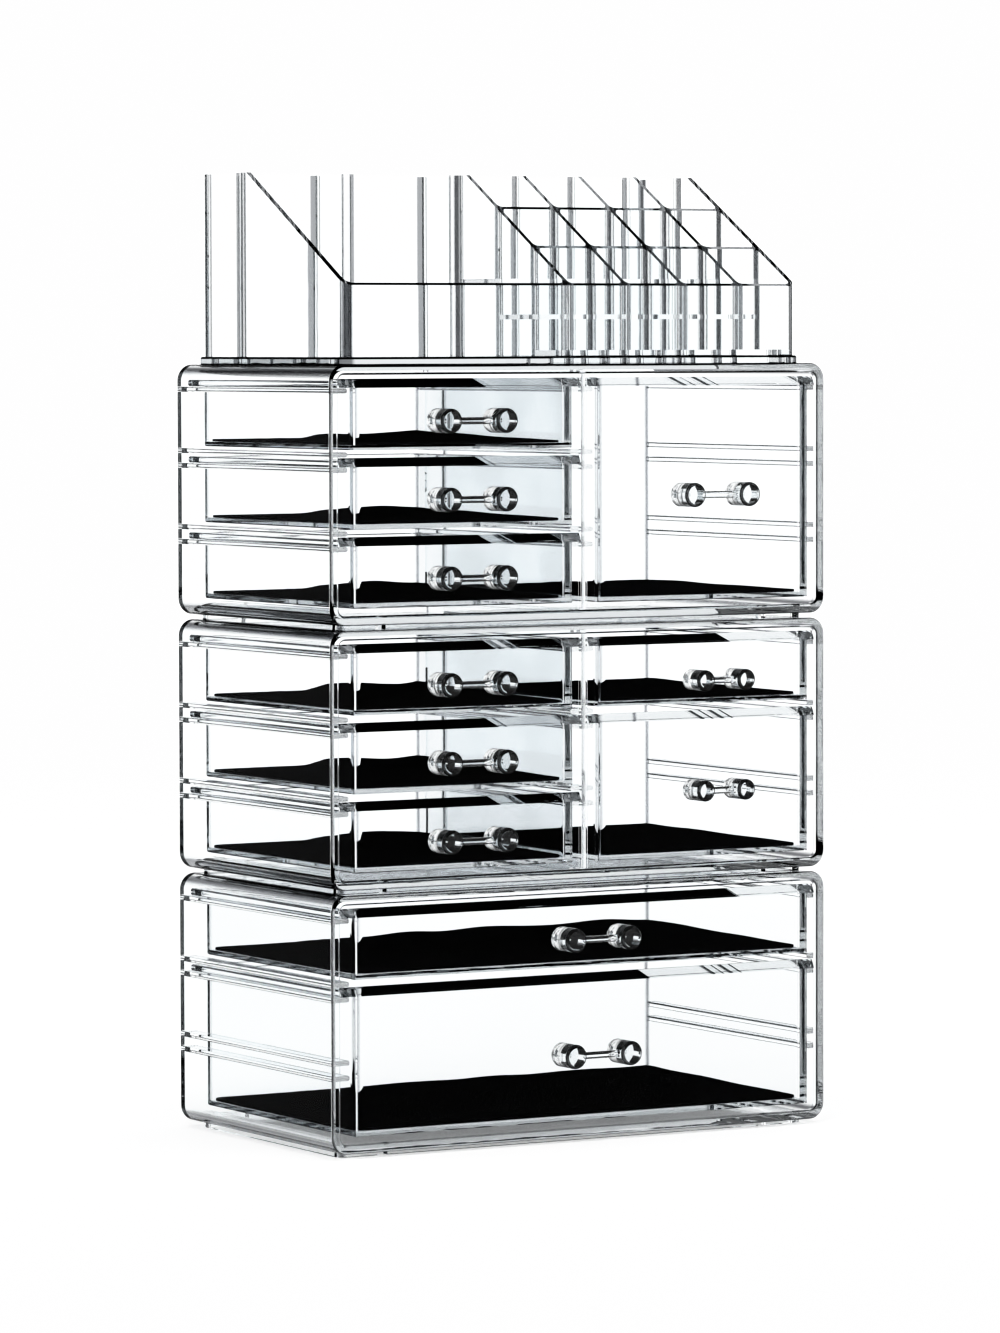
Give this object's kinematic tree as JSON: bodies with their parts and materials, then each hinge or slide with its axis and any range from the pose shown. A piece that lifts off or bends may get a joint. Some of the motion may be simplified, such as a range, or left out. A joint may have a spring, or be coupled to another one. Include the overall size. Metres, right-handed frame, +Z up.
{
  "type": "acrylic drawer organiser",
  "caption": "Stacked clear acrylic cosmetics organiser with black-lined sliding drawers, small dumbbell handles and a stepped open tray on top.",
  "frame": {"origin": "centre of the whole object's footprint, handles included, on the surface it stands on", "axes": "+Z up, -Y is the drawer fronts' side, +X to the right seen from the front"},
  "size_m": [0.24, 0.1468, 0.4053],
  "materials": {
    "case_acrylic": "clear polished moulded acrylic",
    "drawer_acrylic": "clear polished moulded acrylic",
    "handle_acrylic": "clear turned acrylic, polished",
    "tray_acrylic": "clear polished moulded acrylic",
    "liner_felt": "black short-pile drawer liner"
  },
  "bodies": {
    "bottom_unit": {"case_bottom": "case_acrylic"},
    "middle_unit": {"case_middle": "case_acrylic", "divider_middle": "case_acrylic"},
    "top_unit": {"case_top": "case_acrylic", "divider_top": "case_acrylic"},
    "tray": {"cosmetics_tray": "tray_acrylic"},
    "drawer_wide_upper": {"drawer_wide_upper": "drawer_acrylic", "handle_wide_upper": "handle_acrylic", "liner_wide_upper": "liner_felt"},
    "drawer_wide_lower": {"drawer_wide_lower": "drawer_acrylic", "handle_wide_lower": "handle_acrylic", "liner_wide_lower": "liner_felt"},
    "drawer_middle_left_1": {"drawer_middle_left_1": "drawer_acrylic", "handle_middle_left_1": "handle_acrylic", "liner_middle_left_1": "liner_felt"},
    "drawer_middle_left_2": {"drawer_middle_left_2": "drawer_acrylic", "handle_middle_left_2": "handle_acrylic", "liner_middle_left_2": "liner_felt"},
    "drawer_middle_left_3": {"drawer_middle_left_3": "drawer_acrylic", "handle_middle_left_3": "handle_acrylic", "liner_middle_left_3": "liner_felt"},
    "drawer_middle_right_upper": {"drawer_middle_right_upper": "drawer_acrylic", "handle_middle_right_upper": "handle_acrylic", "liner_middle_right_upper": "liner_felt"},
    "drawer_middle_right_lower": {"drawer_middle_right_lower": "drawer_acrylic", "handle_middle_right_lower": "handle_acrylic", "liner_middle_right_lower": "liner_felt"},
    "drawer_top_left_1": {"drawer_top_left_1": "drawer_acrylic", "handle_top_left_1": "handle_acrylic", "liner_top_left_1": "liner_felt"},
    "drawer_top_left_2": {"drawer_top_left_2": "drawer_acrylic", "handle_top_left_2": "handle_acrylic", "liner_top_left_2": "liner_felt"},
    "drawer_top_left_3": {"drawer_top_left_3": "drawer_acrylic", "handle_top_left_3": "handle_acrylic", "liner_top_left_3": "liner_felt"},
    "drawer_top_right_full": {"drawer_top_right_full": "drawer_acrylic", "handle_top_right_full": "handle_acrylic", "liner_top_right_full": "liner_felt"}
  },
  "joints": [
    {"name": "lift_middle_unit", "type": "slide", "parent": "bottom_unit", "child": "middle_unit", "axis": [0, 0, 1], "range_m": [0, 0.06]},
    {"name": "lift_top_unit", "type": "slide", "parent": "middle_unit", "child": "top_unit", "axis": [0, 0, 1], "range_m": [0, 0.06]},
    {"name": "lift_tray", "type": "slide", "parent": "top_unit", "child": "tray", "axis": [0, 0, 1], "range_m": [0, 0.06]},
    {"name": "slide_wide_upper", "type": "slide", "parent": "bottom_unit", "child": "drawer_wide_upper", "axis": [0, -1, 0], "range_m": [0, 0.105]},
    {"name": "slide_wide_lower", "type": "slide", "parent": "bottom_unit", "child": "drawer_wide_lower", "axis": [0, -1, 0], "range_m": [0, 0.105]},
    {"name": "slide_middle_left_1", "type": "slide", "parent": "middle_unit", "child": "drawer_middle_left_1", "axis": [0, -1, 0], "range_m": [0, 0.105]},
    {"name": "slide_middle_left_2", "type": "slide", "parent": "middle_unit", "child": "drawer_middle_left_2", "axis": [0, -1, 0], "range_m": [0, 0.105]},
    {"name": "slide_middle_left_3", "type": "slide", "parent": "middle_unit", "child": "drawer_middle_left_3", "axis": [0, -1, 0], "range_m": [0, 0.105]},
    {"name": "slide_middle_right_upper", "type": "slide", "parent": "middle_unit", "child": "drawer_middle_right_upper", "axis": [0, -1, 0], "range_m": [0, 0.105]},
    {"name": "slide_middle_right_lower", "type": "slide", "parent": "middle_unit", "child": "drawer_middle_right_lower", "axis": [0, -1, 0], "range_m": [0, 0.105]},
    {"name": "slide_top_left_1", "type": "slide", "parent": "top_unit", "child": "drawer_top_left_1", "axis": [0, -1, 0], "range_m": [0, 0.105]},
    {"name": "slide_top_left_2", "type": "slide", "parent": "top_unit", "child": "drawer_top_left_2", "axis": [0, -1, 0], "range_m": [0, 0.105]},
    {"name": "slide_top_left_3", "type": "slide", "parent": "top_unit", "child": "drawer_top_left_3", "axis": [0, -1, 0], "range_m": [0, 0.105]},
    {"name": "slide_top_right_full", "type": "slide", "parent": "top_unit", "child": "drawer_top_right_full", "axis": [0, -1, 0], "range_m": [0, 0.105]}
  ]
}
